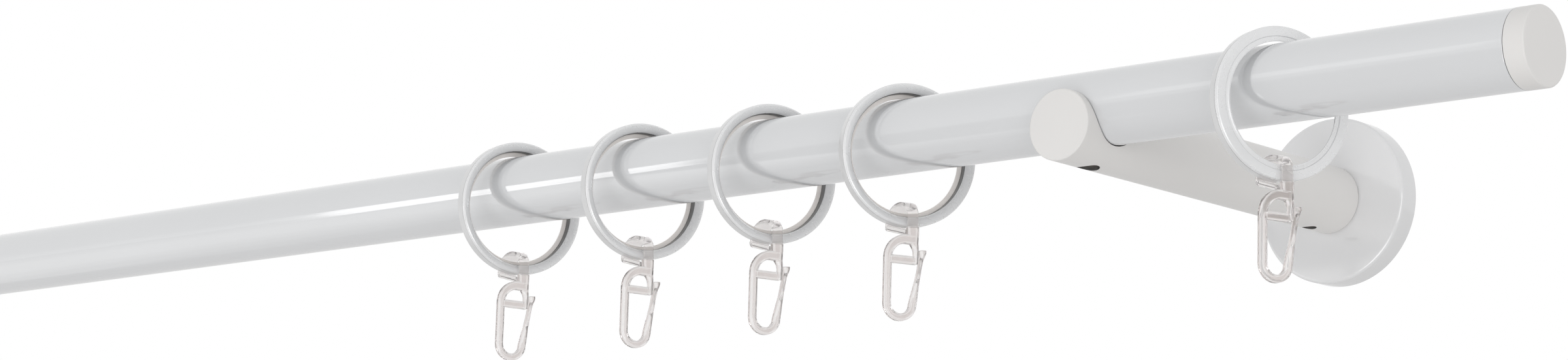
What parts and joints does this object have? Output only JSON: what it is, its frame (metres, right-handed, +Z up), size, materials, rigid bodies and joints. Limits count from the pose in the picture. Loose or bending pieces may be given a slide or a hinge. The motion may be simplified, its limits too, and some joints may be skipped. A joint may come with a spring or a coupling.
{
  "type": "curtain rod with brackets",
  "caption": "Round white curtain rod on wall arms with saddle ends, flat end caps, sliding lined rings and clear clip-on pleat hooks.",
  "frame": {"origin": "on the wall plane, midway between the two brackets, at the height of the arm axes: the centre of the four wall screws", "axes": "+X along the rod to the right as seen from the room, +Y into the wall, +Z up"},
  "size_m": [1.2116, 0.1383, 0.0682],
  "materials": {
    "white_lacquer": "glossy white lacquer on steel tube",
    "white_satin": "satin white powder coat",
    "ring_lacquer": "glossy white lacquer on metal ring",
    "liner_plastic": "smooth off-white glide plastic",
    "clear_plastic": "clear moulded plastic",
    "zinc_steel": "zinc-plated steel",
    "screw_steel": "darkened steel with worn edges"
  },
  "bodies": {
    "rod_and_brackets": {"rod_tube": "white_lacquer", "end_cap_right": "white_satin", "bracket_arm_right": "white_satin", "wall_plate_right": "zinc_steel", "plate_stud_right": "zinc_steel", "rosette_right": "white_satin", "end_cap_left": "white_satin", "bracket_arm_left": "white_satin", "wall_plate_left": "zinc_steel", "plate_stud_left": "zinc_steel", "rosette_left": "white_satin"},
    "rod_screw_right": {"rod_screw_right": "screw_steel"},
    "arm_screw_right": {"arm_screw_right": "screw_steel"},
    "rod_screw_left": {"rod_screw_left": "screw_steel"},
    "arm_screw_left": {"arm_screw_left": "screw_steel"},
    "ring_right_1": {"ring_shell_right_1": "ring_lacquer", "ring_liner_right_1": "liner_plastic"},
    "hook_right_1": {"curtain_hook_right_1": "clear_plastic"},
    "ring_right_2": {"ring_shell_right_2": "ring_lacquer", "ring_liner_right_2": "liner_plastic"},
    "hook_right_2": {"curtain_hook_right_2": "clear_plastic"},
    "ring_right_3": {"ring_shell_right_3": "ring_lacquer", "ring_liner_right_3": "liner_plastic"},
    "hook_right_3": {"curtain_hook_right_3": "clear_plastic"},
    "ring_right_4": {"ring_shell_right_4": "ring_lacquer", "ring_liner_right_4": "liner_plastic"},
    "hook_right_4": {"curtain_hook_right_4": "clear_plastic"},
    "ring_right_5": {"ring_shell_right_5": "ring_lacquer", "ring_liner_right_5": "liner_plastic"},
    "hook_right_5": {"curtain_hook_right_5": "clear_plastic"},
    "ring_left_1": {"ring_shell_left_1": "ring_lacquer", "ring_liner_left_1": "liner_plastic"},
    "hook_left_1": {"curtain_hook_left_1": "clear_plastic"},
    "ring_left_2": {"ring_shell_left_2": "ring_lacquer", "ring_liner_left_2": "liner_plastic"},
    "hook_left_2": {"curtain_hook_left_2": "clear_plastic"},
    "ring_left_3": {"ring_shell_left_3": "ring_lacquer", "ring_liner_left_3": "liner_plastic"},
    "hook_left_3": {"curtain_hook_left_3": "clear_plastic"},
    "ring_left_4": {"ring_shell_left_4": "ring_lacquer", "ring_liner_left_4": "liner_plastic"},
    "hook_left_4": {"curtain_hook_left_4": "clear_plastic"},
    "ring_left_5": {"ring_shell_left_5": "ring_lacquer", "ring_liner_left_5": "liner_plastic"},
    "hook_left_5": {"curtain_hook_left_5": "clear_plastic"}
  },
  "joints": [
    {"name": "rod_screw_right_turn", "type": "hinge", "parent": "rod_and_brackets", "child": "rod_screw_right", "pos_m": [0.4718, -0.119, -0.007], "axis": [0, 0, 1], "range_deg": [-720, 0]},
    {"name": "arm_screw_right_turn", "type": "hinge", "parent": "rod_and_brackets", "child": "arm_screw_right", "pos_m": [0.4718, -0.0177, -0.007], "axis": [0, 0, 1], "range_deg": [-720, 0]},
    {"name": "rod_screw_left_turn", "type": "hinge", "parent": "rod_and_brackets", "child": "rod_screw_left", "pos_m": [-0.4718, -0.119, -0.007], "axis": [0, 0, 1], "range_deg": [-720, 0]},
    {"name": "arm_screw_left_turn", "type": "hinge", "parent": "rod_and_brackets", "child": "arm_screw_left", "pos_m": [-0.4718, -0.0177, -0.007], "axis": [0, 0, 1], "range_deg": [-720, 0]},
    {"name": "ring_right_1_slide", "type": "slide", "parent": "rod_and_brackets", "child": "ring_right_1", "axis": [1, 0, 0], "range_m": [-0.036, 0.06]},
    {"name": "hook_right_1_swing", "type": "hinge", "parent": "ring_right_1", "child": "hook_right_1", "pos_m": [0.5306, -0.119, 0.0006], "axis": [0.9272, -0.3746, 0], "range_deg": [-95, 95]},
    {"name": "ring_right_2_slide", "type": "slide", "parent": "rod_and_brackets", "child": "ring_right_2", "axis": [1, 0, 0], "range_m": [-0.036, 0.028]},
    {"name": "hook_right_2_swing", "type": "hinge", "parent": "ring_right_2", "child": "hook_right_2", "pos_m": [0.4112, -0.119, 0.0006], "axis": [0.9026, -0.4305, 0], "range_deg": [-95, 95]},
    {"name": "ring_right_3_slide", "type": "slide", "parent": "rod_and_brackets", "child": "ring_right_3", "axis": [1, 0, 0], "range_m": [-0.036, 0.036]},
    {"name": "hook_right_3_swing", "type": "hinge", "parent": "ring_right_3", "child": "hook_right_3", "pos_m": [0.3626, -0.119, 0.0006], "axis": [0.9455, -0.3256, 0], "range_deg": [-95, 95]},
    {"name": "ring_right_4_slide", "type": "slide", "parent": "rod_and_brackets", "child": "ring_right_4", "axis": [1, 0, 0], "range_m": [-0.036, 0.036]},
    {"name": "hook_right_4_swing", "type": "hinge", "parent": "ring_right_4", "child": "hook_right_4", "pos_m": [0.3136, -0.119, 0.0006], "axis": [0.9613, -0.2756, 0], "range_deg": [-95, 95]},
    {"name": "ring_right_5_slide", "type": "slide", "parent": "rod_and_brackets", "child": "ring_right_5", "axis": [1, 0, 0], "range_m": [-0.47, 0.036]},
    {"name": "hook_right_5_swing", "type": "hinge", "parent": "ring_right_5", "child": "hook_right_5", "pos_m": [0.2636, -0.119, 0.0006], "axis": [0.9636, -0.2672, 0], "range_deg": [-95, 95]},
    {"name": "ring_left_1_slide", "type": "slide", "parent": "rod_and_brackets", "child": "ring_left_1", "axis": [1, 0, 0], "range_m": [-0.06, 0.036]},
    {"name": "hook_left_1_swing", "type": "hinge", "parent": "ring_left_1", "child": "hook_left_1", "pos_m": [-0.5306, -0.119, 0.0006], "axis": [0.9272, 0.3746, 0], "range_deg": [-95, 95]},
    {"name": "ring_left_2_slide", "type": "slide", "parent": "rod_and_brackets", "child": "ring_left_2", "axis": [1, 0, 0], "range_m": [-0.028, 0.036]},
    {"name": "hook_left_2_swing", "type": "hinge", "parent": "ring_left_2", "child": "hook_left_2", "pos_m": [-0.4112, -0.119, 0.0006], "axis": [0.9026, 0.4305, 0], "range_deg": [-95, 95]},
    {"name": "ring_left_3_slide", "type": "slide", "parent": "rod_and_brackets", "child": "ring_left_3", "axis": [1, 0, 0], "range_m": [-0.036, 0.036]},
    {"name": "hook_left_3_swing", "type": "hinge", "parent": "ring_left_3", "child": "hook_left_3", "pos_m": [-0.3626, -0.119, 0.0006], "axis": [0.9455, 0.3256, 0], "range_deg": [-95, 95]},
    {"name": "ring_left_4_slide", "type": "slide", "parent": "rod_and_brackets", "child": "ring_left_4", "axis": [1, 0, 0], "range_m": [-0.036, 0.036]},
    {"name": "hook_left_4_swing", "type": "hinge", "parent": "ring_left_4", "child": "hook_left_4", "pos_m": [-0.3136, -0.119, 0.0006], "axis": [0.9613, 0.2756, 0], "range_deg": [-95, 95]},
    {"name": "ring_left_5_slide", "type": "slide", "parent": "rod_and_brackets", "child": "ring_left_5", "axis": [1, 0, 0], "range_m": [-0.036, 0.47]},
    {"name": "hook_left_5_swing", "type": "hinge", "parent": "ring_left_5", "child": "hook_left_5", "pos_m": [-0.2636, -0.119, 0.0006], "axis": [0.9636, 0.2672, 0], "range_deg": [-95, 95]}
  ]
}
